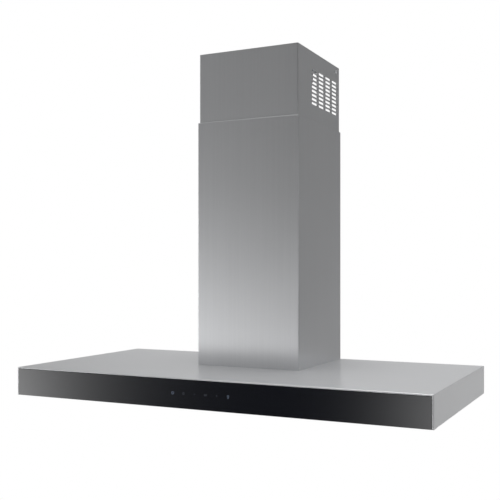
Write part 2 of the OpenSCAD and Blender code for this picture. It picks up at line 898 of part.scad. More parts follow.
// Folded frame that holds the baffles, with two hook tabs behind and a latch pocket in front
module filter_frame(i) {
    x = filter_w / 2;
    z = filter_z;
    top = filter_z + filter_h;
    color("silver")
        translate([filter_x(i), 0, 0])
            difference() {
                union() {
                    difference() {
                        block([-x, filter_front, z], [x, filter_back, top]);
                        block([-x + frame_t, filter_front + frame_t, z + frame_t],
                              [x - frame_t, filter_back - frame_t, top - frame_t]);
                        block([-x + frame_w, filter_front + latch_strip, z - 1],
                              [x - frame_w, filter_back - frame_w, top + 1]);
                    }
                    // wall behind the latch
                    block([-x + frame_t - eps, pocket_y, z + frame_t - eps],
                          [x - frame_t + eps, pocket_y + frame_t, top - frame_t + eps]);
                    for (s = [-1, 1])
                        translate([s * tab_offset, filter_back - frame_t / 2, 0])
                            block([-tab_w / 2, 0, tab_z], [tab_w / 2, tab_reach + frame_t / 2, tab_z + tab_t]);
                }
                // slot for the latch tongue and window for the finger grip
                block([-latch_w / 2 + latch_shoulder - 1, filter_front - 1, latch_z - 0.2],
                      [latch_w / 2 - latch_shoulder + 1, filter_front + frame_t + 1, latch_z + latch_t + 0.2]);
                block([-latch_grip_w / 2 - 0.5, latch_y + 2, z - 1],
                      [latch_grip_w / 2 + 0.5, latch_y + 2 + latch_grip_d + latch_travel + 1, z + frame_t + eps]);
            }
}

// Two layers of folded channels: the upper ones cover the gaps between the lower ones
module filter_baffles(i) {
    x0 = -filter_w / 2 + frame_t + 0.4;
    pitch = (filter_w - 2 * frame_t - 0.8) / baffle_n;
    wide = pitch * baffle_fill;
    t = baffle_t;
    low = filter_z + frame_t + eps;
    high = filter_z + filter_h - frame_t - eps;
    mid = (low + high) / 2;
    y0 = pocket_y + frame_t + 0.3;
    y1 = filter_back - frame_t - 0.3;
    color("lightgray")
        translate([filter_x(i), 0, 0]) {
            for (k = [0 : baffle_n - 1])
                translate([x0 + (k + 0.5) * pitch, 0, 0]) along_y(y0, y1) difference() {
                    translate([-wide / 2, low]) square([wide, mid - low + 0.6]);
                    translate([-wide / 2 + t, low + t]) square([wide - 2 * t, high]);
                }
            for (k = [1 : baffle_n - 1])
                translate([x0 + k * pitch, 0, 0]) along_y(y0, y1) difference() {
                    translate([-wide / 2, mid - 0.6]) square([wide, high - mid + 0.6]);
                    translate([-wide / 2 + t, 0]) square([wide - 2 * t, high - t]);
                }
            // cross bars that tie the channels together
            for (y = [y0 + 2, y1 - 2 - bar_w])
                block([x0 + 2, y, mid + 0.3], [-x0 - 2, y + bar_w, mid + 1.3]);
        }
}

// Sliding latch: a plate inside the frame, a tongue to the front and a finger grip below
module filter_latch(i) {
    z = latch_z;
    color("dimgray")
        translate([filter_x(i), 0, 0]) {
            block([-latch_w / 2, latch_y, z], [latch_w / 2, latch_y + latch_d, z + latch_t]);
            block([-latch_w / 2 + latch_shoulder, filter_front - latch_tongue, z],
                  [latch_w / 2 - latch_shoulder, latch_y + eps, z + latch_t]);
            block([-latch_grip_w / 2, latch_y + 2.5, filter_z - latch_drop],
                  [latch_grip_w / 2, latch_y + 4.5, z + eps]);
            block([-latch_grip_w / 2, latch_y + 2.5, filter_z - latch_drop],
                  [latch_grip_w / 2, latch_y + 2 + latch_grip_d, filter_z - latch_drop + 1]);
        }
}

// Folded leaf spring behind the latch plate
module latch_spring(i) {
    y0 = latch_y + latch_d;
    length = pocket_y - y0;
    step = length / spring_folds;
    color("silver")
        translate([filter_x(i), 0, latch_z])
            linear_extrude(spring_h)
                for (k = [0 : spring_folds])
                    translate([0, y0 + k * step]) {
                        translate([-spring_w / 2, k == spring_folds ? -spring_t : 0]) square([spring_w, spring_t]);
                        if (k < spring_folds)
                            translate([k % 2 == 0 ? -spring_w / 2 : spring_w / 2 - spring_t, 0])
                                square([spring_t, step]);
                    }
}

// Leads from the control box to both lamps
module lamp_leads() {
    y = control_y;
    z = pan_z + lamp_h;
    high = inner_top - 8;
    color("white") {
        lead([[control_x + control_w / 2, y, high], [lamp_x, y, high], [lamp_x, y, z]], lead_r);
        lead([[control_x - control_w / 2, y, high], [-lamp_x, y, high], [-lamp_x, y, z]], lead_r);
    }
}

// Leads from the control box to the touch board, the motor and the gland
module motor_leads() {
    back = control_y + control_d / 2;
    high = inner_top - 8;
    low = high - 10;
    motor_y = axis_y - 11;
    color("black") {
        lead([[-60, rail_y + sheet_t + housing_d, touch_z], [-60, control_y, touch_z],
              [control_x + control_w / 2, control_y, touch_z]], lead_r);
        lead([[control_x + 10, back, low], [control_x + 10, motor_y, low], [gland_x, motor_y, low],
              [gland_x, motor_y, axis_z], [motor_x0, motor_y, axis_z]], lead_r);
        lead([[control_x - 10, back, high], [control_x - 10, gland_y, high], [gland_x, gland_y, high],
              [gland_x, gland_y, box_top - 8]], lead_r);
    }
}

canopy_shell();
front_rail();
front_glass();
glass_tape();
touch_board();
touch_housing();
intake_pan();
pan_screws();
lamp_bezel(-1);  // lamp_bezel_left
lamp_bezel(1);  // lamp_bezel_right
lamp_lens(-1);  // lamp_lens_left
lamp_lens(1);  // lamp_lens_right
lamp_can(-1);  // lamp_can_left
lamp_can(1);  // lamp_can_right
lamp_board(-1);  // lamp_board_left
lamp_board(1);  // lamp_board_right
control_box();
control_lid();
control_board();
mains_gland();
motor_box();
blower_screws();
wall_plate();
wall_spacers();
outlet_collar();
damper_pin();
flap(-1);  // flap_left
flap(1);  // flap_right
scroll(-1);  // scroll_left
scroll(1);  // scroll_right
impeller();
motor_housing();
motor_stator();
motor_rotor();
motor_shaft();
motor_bracket();
motor_bushes();
capacitor();
capacitor_clip();
lower_cover();
upper_cover();
top_bracket();
cover_screws();
base_bracket();
glide_strips();
for (i = [0 : filter_n - 1]) {
    filter_frame(i);
    filter_baffles(i);
    filter_latch(i);
    latch_spring(i);
}
lamp_leads();
motor_leads();
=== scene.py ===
"""Looks of a wall chimney range hood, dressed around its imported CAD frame.

The hood is a flat folded canopy of satin-brushed stainless steel with a black glass front,
under two telescoping chimney covers. Visible shells are rebuilt here with real bend radii,
hems and rounded slots; the pieces inside keep their CAD shape and get eased edges.
"""

from __future__ import annotations

import json
import logging
import math
from dataclasses import dataclass, field
from enum import Enum

import bpy
import numpy as np
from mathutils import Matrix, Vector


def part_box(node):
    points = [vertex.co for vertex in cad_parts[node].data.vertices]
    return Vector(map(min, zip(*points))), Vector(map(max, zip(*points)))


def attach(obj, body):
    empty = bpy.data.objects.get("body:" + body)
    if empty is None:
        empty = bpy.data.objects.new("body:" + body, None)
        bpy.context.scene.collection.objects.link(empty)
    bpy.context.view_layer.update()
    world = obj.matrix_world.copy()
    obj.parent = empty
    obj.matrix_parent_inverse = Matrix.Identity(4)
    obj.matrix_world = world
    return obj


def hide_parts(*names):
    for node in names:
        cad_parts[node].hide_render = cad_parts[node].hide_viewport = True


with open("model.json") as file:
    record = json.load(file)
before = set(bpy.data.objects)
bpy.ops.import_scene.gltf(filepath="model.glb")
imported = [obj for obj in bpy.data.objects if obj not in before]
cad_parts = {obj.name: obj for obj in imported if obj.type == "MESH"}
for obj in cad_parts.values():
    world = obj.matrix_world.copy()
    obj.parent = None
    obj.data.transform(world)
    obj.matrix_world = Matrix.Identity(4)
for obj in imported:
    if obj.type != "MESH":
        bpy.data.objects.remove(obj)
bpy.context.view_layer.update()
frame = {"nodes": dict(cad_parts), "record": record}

LOG = logging.getLogger("hood")
MM = 0.001

Section = tuple[np.ndarray, list]


# --------------------------------------------------------------------------- numbers and colours
def linear(code: str, alpha: float = 1.0) -> tuple[float, float, float, float]:
    """Turns an sRGB hex colour into the linear colour that shaders use.

    Args:
        code: Six hex digits.
        alpha: Opacity, passed through.

    Returns:
        Linear red, green and blue, and alpha.
    """
    srgb = np.array([int(code[i : i + 2], 16) for i in (0, 2, 4)]) / 255.0
    low = srgb / 12.92
    high = ((srgb + 0.055) / 1.055) ** 2.4
    return (*np.where(srgb <= 0.04045, low, high).tolist(), alpha)


def arc(
    centre: tuple[float, float], radius: float, start: float, end: float, steps: int
) -> np.ndarray:
    """Points along an arc in a plane.

    Args:
        centre: Middle of the arc.
        radius: Its radius.
        start: First angle in degrees.
        end: Last angle in degrees.
        steps: Number of spans.

    Returns:
        An array of steps + 1 points.
    """
    a = np.radians(np.linspace(start, end, steps + 1))
    return np.array(centre) + radius * np.stack([np.cos(a), np.sin(a)], axis=1)


def filleted(corners: list, radius: float, steps: int = 5, closed: bool = False) -> np.ndarray:
    """A polyline whose inner corners are rounded by arcs tangent to both sides.

    Args:
        corners: Corner points in a plane.
        radius: Radius of every rounded corner.
        steps: Spans along each arc.
        closed: Whether the line returns to its first corner, which is then rounded too.

    Returns:
        The points of the rounded line.
    """
    pts = np.array(corners, float)
    count = len(pts)
    out = [] if closed else [pts[:1]]
    for i in range(0 if closed else 1, count if closed else count - 1):
        here = pts[i]
        before = pts[i - 1] - here
        after = pts[(i + 1) % count] - here
        before = before / np.linalg.norm(before)
        after = after / np.linalg.norm(after)
        half = math.acos(np.clip(before @ after, -1, 1)) / 2
        middle = here + (before + after) / np.linalg.norm(before + after) * radius / math.sin(half)
        tangents = [here + d * radius / math.tan(half) for d in (before, after)]
        angles = [math.atan2(*(t - middle)[::-1]) for t in tangents]
        turn = (angles[1] - angles[0] + math.pi) % (2 * math.pi) - math.pi
        span = np.degrees([angles[0], angles[0] + turn])
        out.append(arc(tuple(middle), radius, span[0], span[1], steps))
    if not closed:
        out.append(pts[-1:])
    return np.concatenate(out)


def normals(path: np.ndarray, closed: bool) -> np.ndarray:
    """Mitred left-hand normals of a plane path, long enough to keep offset lines parallel.

    Args:
        path: Points in a plane.
        closed: Whether the path is a loop.

    Returns:
        One normal for each point.
    """
    edge = np.roll(path, -1, axis=0) - path
    edge = edge / np.maximum(np.linalg.norm(edge, axis=1, keepdims=True), 1e-12)
    after, before = edge.copy(), np.roll(edge, 1, axis=0)
    if not closed:
        before[0] = after[0]
        after[-1] = before[-1]
    mean = before + after
    mean = mean / np.linalg.norm(mean, axis=1, keepdims=True)
    side = np.stack([-mean[:, 1], mean[:, 0]], axis=1)
    cosine = np.abs((mean * after).sum(axis=1, keepdims=True))
    return side / np.maximum(cosine, 0.2)


def sheet_section(line: np.ndarray, thickness: float) -> np.ndarray:
    """Closed outline of a bent sheet: its middle line, moved half the thickness to each side."""
    side = normals(line, False) * thickness / 2
    return np.concatenate([line + side, (line - side)[::-1]])


# --------------------------------------------------------------------------- surfaces
def grid_faces(rows: int, cols: int, close_rows: bool, close_cols: bool) -> np.ndarray:
    """Quads that join the points of a grid, row by row.

    Args:
        rows: Number of rows of points.
        cols: Number of points in each row.
        close_rows: Whether the last row joins the first.
        close_cols: Whether each row is a loop.

    Returns:
        An array of quads as point numbers.
    """
    r = np.arange(rows if close_rows else rows - 1)[:, None]
    c = np.arange(cols if close_cols else cols - 1)[None, :]
    r2, c2 = (r + 1) % rows, (c + 1) % cols
    quad = [r * cols + c, r * cols + c2, r2 * cols + c2, r2 * cols + c]
    shape = (len(r), c.shape[1])
    return np.stack([np.broadcast_to(q, shape) for q in quad], axis=-1).reshape(-1, 4)


def loft(sections: np.ndarray, closed: bool = False, capped: bool = True) -> Section:
    """Surface through a row of loops, given as an array of (row, point, xyz).

    Args:
        sections: The loops, each with the same number of points.
        closed: Whether the last loop joins the first.
        capped: Whether the first and the last loop are closed by a flat face.

    Returns:
        Points and faces.
    """
    rows, cols, _ = sections.shape
    points = sections.reshape(-1, 3)
    quads = grid_faces(rows, cols, closed, True)
    caps = []
    if capped and not closed:
        caps = [np.arange(cols)[::-1], np.arange((rows - 1) * cols, rows * cols)]
    fans = [np.stack([np.full(cols - 2, c[0]), c[1:-1], c[2:]], axis=1) for c in caps]
    a, b, c = (points[t] for t in np.concatenate([quads[:, :3], quads[:, [0, 2, 3]], *fans]).T)
    turn = -1 if (a * np.cross(b, c)).sum() < 0 else 1
    return points, [f[::turn].tolist() for f in [*quads, *caps]]


def upright(path: np.ndarray, profile: np.ndarray, closed: bool = False) -> Section:
    """Carries a closed profile of (offset, height) along a plan path.

    Each point of the surface is path point + left-hand normal times offset, at the height.

    Args:
        path: Plan points (x, y).
        profile: Loop of (offset to the left of the path, height z).
        closed: Whether the path is a loop.

    Returns:
        Points and faces.
    """
    side = normals(path, closed)
    plan = path[:, None, :] + side[:, None, :] * profile[None, :, :1]
    height = np.broadcast_to(profile[None, :, 1:], (*plan.shape[:2], 1))
    return loft(np.concatenate([plan, height], axis=2), closed)


class Plane(Enum):
    """Which plane a flat outline is drawn in, and the axis that it is carried along."""

    XY = (0, 1, 2)
    XZ = (0, 2, 1)
    YZ = (1, 2, 0)


def placed(flat: np.ndarray, depth: np.ndarray | float, plane: Plane) -> np.ndarray:
    """Puts flat points into space, with depth along the plane's third axis."""
    out = np.empty((*flat.shape[:-1], 3))
    out[..., plane.value[0]] = flat[..., 0]
    out[..., plane.value[1]] = flat[..., 1]
    out[..., plane.value[2]] = depth
    return out


def slab(
    outline: np.ndarray, low: float, high: float, edge: float, plane: Plane = Plane.XY
) -> Section:
    """Flat plate with rounded edges: the outline, drawn in by a quarter circle at each face.

    Args:
        outline: Loop of points in the plane.
        low: Where one face lies along the plane's third axis.
        high: Where the other lies.
        edge: Radius of the rounded edges.
        plane: The plane of the outline.

    Returns:
        Points and faces.
    """
    area = outline[:, 0] @ np.roll(outline[:, 1], -1) - outline[:, 1] @ np.roll(outline[:, 0], -1)
    inward = normals(outline, True) * math.copysign(1, area)
    quarter = np.radians(np.linspace(0, 90, 4))
    inset = edge * (1 - np.cos(quarter))
    rise = edge * np.sin(quarter)
    steps = np.concatenate([inset[::-1], inset])
    depth = np.concatenate([low + edge - rise[::-1], high - edge + rise])
    flat = outline[None, :, :] + inward[None, :, :] * steps[:, None, None]
    return loft(placed(flat, depth[:, None], plane))


def lathe(profile: np.ndarray, centre: tuple[float, float, float], steps: int = 64) -> Section:
    """Turns a closed loop of (radius, height) about a vertical axis through centre."""
    a = np.radians(np.arange(steps) * 360 / steps)
    ring = np.stack([np.cos(a), np.sin(a)], axis=1)
    flat = ring[:, None, :] * profile[None, :, :1]
    height = np.broadcast_to(profile[None, :, 1:], (*flat.shape[:2], 1))
    return loft(np.concatenate([flat, height], axis=2) + np.array(centre), closed=True)


def joined(parts: list[Section]) -> Section:
    """Puts several surfaces into one list of points and faces."""
    starts = np.cumsum([0] + [len(p) for p, _ in parts])
    faces = [[int(i) + int(s) for i in f] for (_, fs), s in zip(parts, starts) for f in fs]
    return np.concatenate([p for p, _ in parts]), faces


# --------------------------------------------------------------------------- finishes
def add(
    tree: bpy.types.NodeTree, kind: str, links: dict | None = None, **settings: object
) -> bpy.types.Node:
    """Adds a shader node with its settings and links.

    Args:
        tree: The node tree.
        kind: The node's type, without its ShaderNode prefix.
        links: Input name or number to an output socket or a constant.
        **settings: Properties of the node.

    Returns:
        The new node.
    """
    node = tree.nodes.new("ShaderNode" + kind)
    for key, value in settings.items():
        setattr(node, key, value)
    for key, value in (links or {}).items():
        if isinstance(value, bpy.types.NodeSocket):
            tree.links.new(value, node.inputs[key])
        else:
            node.inputs[key].default_value = value
    return node


def shades(
    tree: bpy.types.NodeTree,
    source: bpy.types.NodeSocket,
    base: np.ndarray,
    limits: tuple[float, float],
    shares: tuple[float, float],
) -> bpy.types.NodeSocket:
    """Adds a colour ramp between two shades of one linear colour.

    Args:
        tree: The node tree.
        source: The pattern.
        base: The colour, with its alpha.
        limits: Levels of the pattern that get the dark and the light shade.
        shares: The dark and the light shade, as shares of the colour.

    Returns:
        The colour as a socket.
    """
    node = add(tree, "ValToRGB", {0: source})
    for element, position, share in zip(node.color_ramp.elements, limits, shares):
        element.position = position
        element.color = tuple(np.minimum(base * share, 1))
    return node.outputs[0]


def spread(
    tree: bpy.types.NodeTree,
    source: bpy.types.NodeSocket,
    limits: tuple[float, float],
    values: tuple[float, float],
) -> bpy.types.NodeSocket:
    """Adds a node that turns the limits of a pattern into two values, and clamps beyond them."""
    low, high = limits
    node = add(tree, "MapRange", {0: source, 1: low, 2: high, 3: values[0], 4: values[1]})
    return node.outputs[0]


def blank(name: str) -> tuple[bpy.types.Material, bpy.types.NodeTree, bpy.types.NodeSocket]:
    """Makes a material that has no nodes but its coordinates.

    Args:
        name: Name of the material.

    Returns:
        The material, its node tree and its Object coordinates.
    """
    mat = bpy.data.materials.new(name)
    mat.use_nodes = True
    mat.node_tree.nodes.clear()
    return mat, mat.node_tree, add(mat.node_tree, "TexCoord").outputs["Object"]


# Levels between which nearly all of a noise texture lies
NOISE = (0.3, 0.7)
# Levels close to its middle, which make a pattern of two even shades
NOISE_MIDDLE = (0.42, 0.58)


class Grain(Enum):
    """Direction in which a sheet was brushed, as the axis the scratches run along."""

    X = 0
    Y = 1
    Z = 2


@dataclass(frozen=True)
class BrushedSteel:
    """Satin-brushed 304 stainless steel: fine parallel scratches from an abrasive belt.

    The eye sees a soft grey sheen that is drawn out across the grain, and the grain itself only
    close up. Real scratches are 0.05 mm wide, too fine to show, so bands of them are drawn as
    one. A thin anti-fingerprint lacquer scatters some light, the part that isn't metallic.
    """

    name: str
    grain: Grain
    colour: str = "dcdddf"
    roughness: float = 0.28
    anisotropic: float = 0.75
    metallic: float = 0.7
    scratch_mm: float = 2.4
    length_mm: float = 400.0
    cloud_mm: float = 120.0
    tone: float = 0.008
    gloss: float = 0.002
    wear: float = 0.004

    def build(self) -> bpy.types.Material:
        """Makes the material, with the grain drawn in Object coordinates.

        Returns:
            The material.
        """
        mat, tree, place = blank(self.name)
        fine = [1 / (self.scratch_mm * MM)] * 3
        fine[self.grain.value] = 1 / (self.length_mm * MM)
        stretch = add(tree, "Mapping", {"Vector": place, "Scale": fine}).outputs[0]
        noise = add(tree, "TexNoise", {"Vector": stretch, "Scale": 1.0, "Detail": 1.0})
        scratches = noise.outputs[0]
        size = 1 / (self.cloud_mm * MM)
        cloud = add(tree, "TexNoise", {"Vector": place, "Scale": size, "Detail": 2.0}).outputs[0]
        base = np.array(linear(self.colour))
        tone = shades(tree, scratches, base, NOISE_MIDDLE, (1 - self.tone, 1 + self.tone))
        gloss = (self.roughness - self.gloss, self.roughness + self.gloss)
        rough = spread(tree, scratches, NOISE_MIDDLE, gloss)
        wear = spread(tree, cloud, NOISE, (-self.wear, self.wear))
        total = add(tree, "Math", {0: rough, 1: wear}, operation="ADD")
        tangent = add(tree, "Tangent", direction_type="UV_MAP")
        shader = add(tree, "BsdfPrincipled", {
            "Base Color": tone, "Metallic": self.metallic, "Roughness": total.outputs[0],
            "Anisotropic": self.anisotropic, "Tangent": tangent.outputs[0],
        })
        add(tree, "OutputMaterial", {0: shader.outputs[0]})
        return mat


@dataclass(frozen=True)
class PlainFinish:
    """A moulded, cast, plated or painted finish with a faint grain in its colour and gloss."""

    name: str
    colour: str
    metallic: float
    roughness: float
    grain_mm: float
    bump_mm: float = 0.01
    variation: float = 0.06
    ior: float = 1.5
    alpha: float = 1.0

    def build(self) -> bpy.types.Material:
        """Makes the material.

        Returns:
            The material.
        """
        mat, tree, place = blank(self.name)
        size = 1 / (self.grain_mm * MM)
        noise = add(tree, "TexNoise", {"Vector": place, "Scale": size, "Detail": 4.0}).outputs[0]
        base = np.array(linear(self.colour))
        tone = shades(tree, noise, base, NOISE, (1 - self.variation, 1 + self.variation))
        gloss = (self.roughness * 0.88, min(1.0, self.roughness * 1.12))
        rough = spread(tree, noise, NOISE, gloss)
        depth = self.bump_mm * MM
        bump = add(tree, "Bump", {"Height": noise, "Strength": 0.3, "Distance": depth})
        shader = add(tree, "BsdfPrincipled", {
            "Base Color": tone, "Metallic": self.metallic, "Roughness": rough,
            "IOR": self.ior, "Alpha": self.alpha, "Normal": bump.outputs[0],
        })
        add(tree, "OutputMaterial", {0: shader.outputs[0]})
        return mat


@dataclass(frozen=True)
class BlackGlass:
    """Toughened float glass, screen-printed black behind: deep black with sharp reflections."""

    name: str = "toughened_black_glass"
    colour: str = "181a20"
    roughness: float = 0.035
    ior: float = 1.52
    wave_mm: float = 150.0
    wave_depth_mm: float = 0.2

    def build(self) -> bpy.types.Material:
        """Makes the material, with the slight roller wave of toughened glass.

        Returns:
            The material.
        """
        mat, tree, place = blank(self.name)
        size = 1 / (self.wave_mm * MM)
        wave = add(tree, "TexNoise", {"Vector": place, "Scale": size, "Detail": 1.0}).outputs[0]
        smear = spread(tree, wave, NOISE, (self.roughness * 0.8, self.roughness * 1.3))
        depth = self.wave_depth_mm * MM
        bump = add(tree, "Bump", {"Height": wave, "Strength": 0.25, "Distance": depth})
        shader = add(tree, "BsdfPrincipled", {
            "Base Color": linear(self.colour), "Roughness": smear, "IOR": self.ior,
            "Normal": bump.outputs[0],
        })
        add(tree, "OutputMaterial", {0: shader.outputs[0]})
        return mat


@dataclass(frozen=True)
class GalvanisedSteel:
    """Hot-dip galvanised sheet: grey zinc crystals, the spangle, some 8 mm across."""

    name: str = "galvanised_sheet"
    colour: str = "a9adb0"
    spangle_mm: float = 8.0
    roughness: float = 0.42

    def build(self) -> bpy.types.Material:
        """Makes the material.

        Returns:
            The material.
        """
        mat, tree, place = blank(self.name)
        cells = add(tree, "TexVoronoi", {"Vector": place, "Scale": 1 / (self.spangle_mm * MM)})
        grey = add(tree, "SeparateColor", {0: cells.outputs["Color"]}).outputs[0]
        base = np.array(linear(self.colour))
        tone = shades(tree, grey, base, (0.0, 1.0), (0.82, 1.12))
        rough = spread(tree, grey, (0.0, 1.0), (self.roughness - 0.08, self.roughness + 0.08))
        shader = add(tree, "BsdfPrincipled", {
            "Base Color": tone, "Metallic": 1.0, "Roughness": rough,
        })
        add(tree, "OutputMaterial", {0: shader.outputs[0]})
        return mat


@dataclass(frozen=True)
class PrintedInk:
    """White ceramic ink of a touch symbol, lit from behind by a small diode."""

    name: str
    colour: str
    glow: float
    speck_mm: float = 0.8

    def build(self) -> bpy.types.Material:
        """Makes the material.

        Returns:
            The material.
        """
        mat, tree, place = blank(self.name)
        size = 1 / (self.speck_mm * MM)
        speck = add(tree, "TexNoise", {"Vector": place, "Scale": size, "Detail": 2.0}).outputs[0]
        tone = shades(tree, speck, np.array(linear(self.colour)), NOISE, (0.9, 1.0))
        shader = add(tree, "BsdfPrincipled", {
            "Base Color": tone, "Roughness": 0.4,
            "Emission Color": linear(self.colour), "Emission Strength": self.glow,
        })
        add(tree, "OutputMaterial", {0: shader.outputs[0]})
        return mat


# --------------------------------------------------------------------------- pieces
@dataclass
class Piece:
    """One new piece of the hood, from its surface to its place in the frame."""

    name: str
    surface: Section
    finish: bpy.types.Material
    body: str
    slot: str
    replaces: tuple[str, ...] = ()
    smooth: float = 35.0
    grain: Grain | None = None
    bend: float = 0.0
    thickness: float = 0.0
    ease: float = 0.0
    made: bpy.types.Object | None = field(default=None, init=False)

    def build(self) -> bpy.types.Object:
        """Makes the object, its modifiers and its ties to the frame.

        Returns:
            The object.
        """
        points, faces = self.surface
        mesh = bpy.data.meshes.new(self.name)
        mesh.from_pydata(points.tolist(), [], faces)
        mesh.validate()
        if self.grain is not None:
            self._map_grain(mesh)
        mesh.materials.append(self.finish)
        obj = bpy.data.objects.new(self.name, mesh)
        bpy.context.scene.collection.objects.link(obj)
        self._finish_edges(obj)
        mesh.polygons.foreach_set("use_smooth", np.ones(len(mesh.polygons), bool))
        mesh.set_sharp_from_angle(angle=math.radians(self.smooth))
        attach(obj, self.body)
        if self.replaces:
            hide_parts(*self.replaces)
        self.made = obj
        LOG.info("%s: %d points, %d faces", self.name, len(mesh.vertices), len(mesh.polygons))
        return obj

    def _finish_edges(self, obj: bpy.types.Object) -> None:
        """Adds the bend radius, then the sheet's thickness, then the eased edges."""
        if self.bend:
            bevel = obj.modifiers.new("bends", "BEVEL")
            bevel.width = self.bend
            bevel.segments = 4
            bevel.limit_method = "ANGLE"
            bevel.angle_limit = math.radians(40)
        if self.thickness:
            solid = obj.modifiers.new("sheet", "SOLIDIFY")
            solid.thickness = self.thickness
            solid.offset = 0.0
            solid.use_even_offset = True
        if self.ease:
            ease_edges(obj, self.ease)
        flatten(obj)

    def _map_grain(self, mesh: bpy.types.Mesh) -> None:
        """Writes a UV map in metres with v along the brushing and u across it.

        On each face the two coordinates are those of the plane that it faces most, and on a
        face that looks along the brushing the grain turns to the next axis.
        """
        mesh.update()
        count = len(mesh.polygons)
        facing = np.zeros(count * 3)
        mesh.polygons.foreach_get("normal", facing)
        axis = np.abs(facing.reshape(-1, 3)).argmax(axis=1)
        totals = np.zeros(count, int)
        mesh.polygons.foreach_get("loop_total", totals)
        axis = np.repeat(axis, totals)
        index = np.zeros(len(mesh.loops), int)
        mesh.loops.foreach_get("vertex_index", index)
        co = np.zeros(len(mesh.vertices) * 3)
        mesh.vertices.foreach_get("co", co)
        place = co.reshape(-1, 3)[index]
        along = np.where(axis == self.grain.value, (self.grain.value + 1) % 3, self.grain.value)
        across = 3 - axis - along
        rows = np.arange(len(index))
        uv = np.stack([place[rows, across], place[rows, along]], axis=1)
        layer = mesh.uv_layers.new(name="brushing")
        layer.data.foreach_set("uv", uv.astype(np.float32).ravel())


def ease_edges(obj: bpy.types.Object, width: float) -> None:
    """Rounds every edge sharper than 50 degrees, as tumbling or deburring does."""
    bevel = obj.modifiers.new("eased", "BEVEL")
    bevel.width = width
    bevel.segments = 2
    bevel.limit_method = "ANGLE"
    bevel.angle_limit = math.radians(50)


def flatten(obj: bpy.types.Object) -> None:
    """Keeps the shading of large flat faces flat where they meet small rounded ones."""
    even = obj.modifiers.new("flat_faces", "WEIGHTED_NORMAL")
    even.weight = 100
    even.keep_sharp = True


def dress(nodes: list[str], finish: bpy.types.Material, ease: float = 0.0) -> None:
    """Gives CAD nodes a finish and, where asked, eased edges.

    Args:
        nodes: Names of CAD nodes.
        finish: The material for all of them.
        ease: Width of the eased edges, or 0 for none.
    """
    for name in nodes:
        obj = frame["nodes"][name]
        obj.data.materials.clear()
        obj.data.materials.append(finish)
        if ease:
            weld = obj.modifiers.new("weld", "WELD")
            weld.merge_threshold = 0.00001
            ease_edges(obj, ease)
            flatten(obj)
    LOG.info("%s dressed in %s", ", ".join(nodes), finish.name)


# --------------------------------------------------------------------------- studio
@dataclass
class Studio:
    """White surroundings with a few soft, low light panels, a pale floor and the camera."""

    lens_mm: float = 59.5
    camera_at: tuple[float, float, float] = (0.7805, -1.841, 0.271)
    heading: float = 26.0
    shift_y: float = 0.038
    floor_z: float = -2.1
    floor_r: float = 5.0
    base: float = 0.03

    def build(self) -> None:
        """Makes the world, the floor and the camera."""
        self._world()
        self._floor()
        self._camera()

    def _glow(self, tree: bpy.types.NodeTree, axis: tuple, strength: float, tight: float,
              ray: bpy.types.NodeSocket) -> bpy.types.NodeSocket:
        """Light from a soft patch of the surroundings: strength times exp(tight (cos - 1)).

        Args:
            tree: The world's nodes.
            axis: Azimuth and elevation of the patch in degrees; azimuth 0 is in front.
            strength: Brightness at its middle.
            tight: How small the patch is.
            ray: The direction looked at.

        Returns:
            The brightness as a socket.
        """
        a, e = (math.radians(v) for v in axis)
        to = (math.sin(a) * math.cos(e), -math.cos(a) * math.cos(e), math.sin(e))
        dot = add(tree, "VectorMath", {0: ray, 1: to}, operation="DOT_PRODUCT")
        off = add(tree, "Math", {0: dot.outputs["Value"], 1: 1.0}, operation="SUBTRACT")
        power = add(tree, "Math", {0: off.outputs[0], 1: tight}, operation="MULTIPLY")
        fall = add(tree, "Math", {0: power.outputs[0]}, operation="EXPONENT")
        return add(tree, "Math", {0: fall.outputs[0], 1: strength}, operation="MULTIPLY").outputs[0]

    def _world(self) -> None:
        """White seen directly, and a dim room with soft panels for light and reflections."""
        world = bpy.data.worlds.new("studio")
        bpy.context.scene.world = world
        world.use_nodes = True
        tree = world.node_tree
        tree.nodes.clear()
        ray = add(tree, "TexCoord").outputs["Generated"]
        total: bpy.types.NodeSocket | float = self.base
        for axis, strength, tight in PANELS:
            glow = self._glow(tree, axis, strength, tight, ray)
            total = add(tree, "Math", {0: total, 1: glow}, operation="ADD").outputs[0]
        room = add(tree, "Background", {0: (1, 1, 1, 1), 1: total})
        white = add(tree, "Background", {0: (1, 1, 1, 1), 1: 1.0})
        seen = add(tree, "LightPath").outputs["Is Camera Ray"]
        mix = add(tree, "MixShader", {0: seen, 1: room.outputs[0], 2: white.outputs[0]})
        add(tree, "OutputWorld", {0: mix.outputs[0]})

    def _floor(self) -> None:
        """A round pale floor, far below the hood."""
        a = np.radians(np.arange(96) * 360 / 96)
        ring = np.stack([np.cos(a), np.sin(a)], axis=1)
        radii = np.array([1.5, 3.0, self.floor_r])
        flat = ring[None, :, :] * radii[:, None, None]
        points = placed(flat.reshape(-1, 2), self.floor_z, Plane.XY)
        faces = grid_faces(3, 96, False, True)[:, ::-1].tolist() + [list(range(96))]
        mesh = bpy.data.meshes.new("floor")
        mesh.from_pydata(points.tolist(), [], faces)
        # Plain matt white, without any pattern
        paint = PlainFinish("white_studio_floor", "f4f4f4", 0.0, 0.7, 400.0, variation=0.01).build()
        mesh.materials.append(paint)
        floor = bpy.data.objects.new("floor", mesh)
        bpy.context.scene.collection.objects.link(floor)

    def _camera(self) -> None:
        """A level camera at the right of the hood's front."""
        data = bpy.data.cameras.new("camera")
        data.lens = self.lens_mm
        data.sensor_width = 36.0
        data.shift_y = self.shift_y
        data.clip_start = 0.05
        camera = bpy.data.objects.new("camera", data)
        camera.location = self.camera_at
        camera.rotation_euler = (math.radians(90), 0.0, math.radians(self.heading))
        bpy.context.scene.collection.objects.link(camera)
        bpy.context.scene.camera = camera


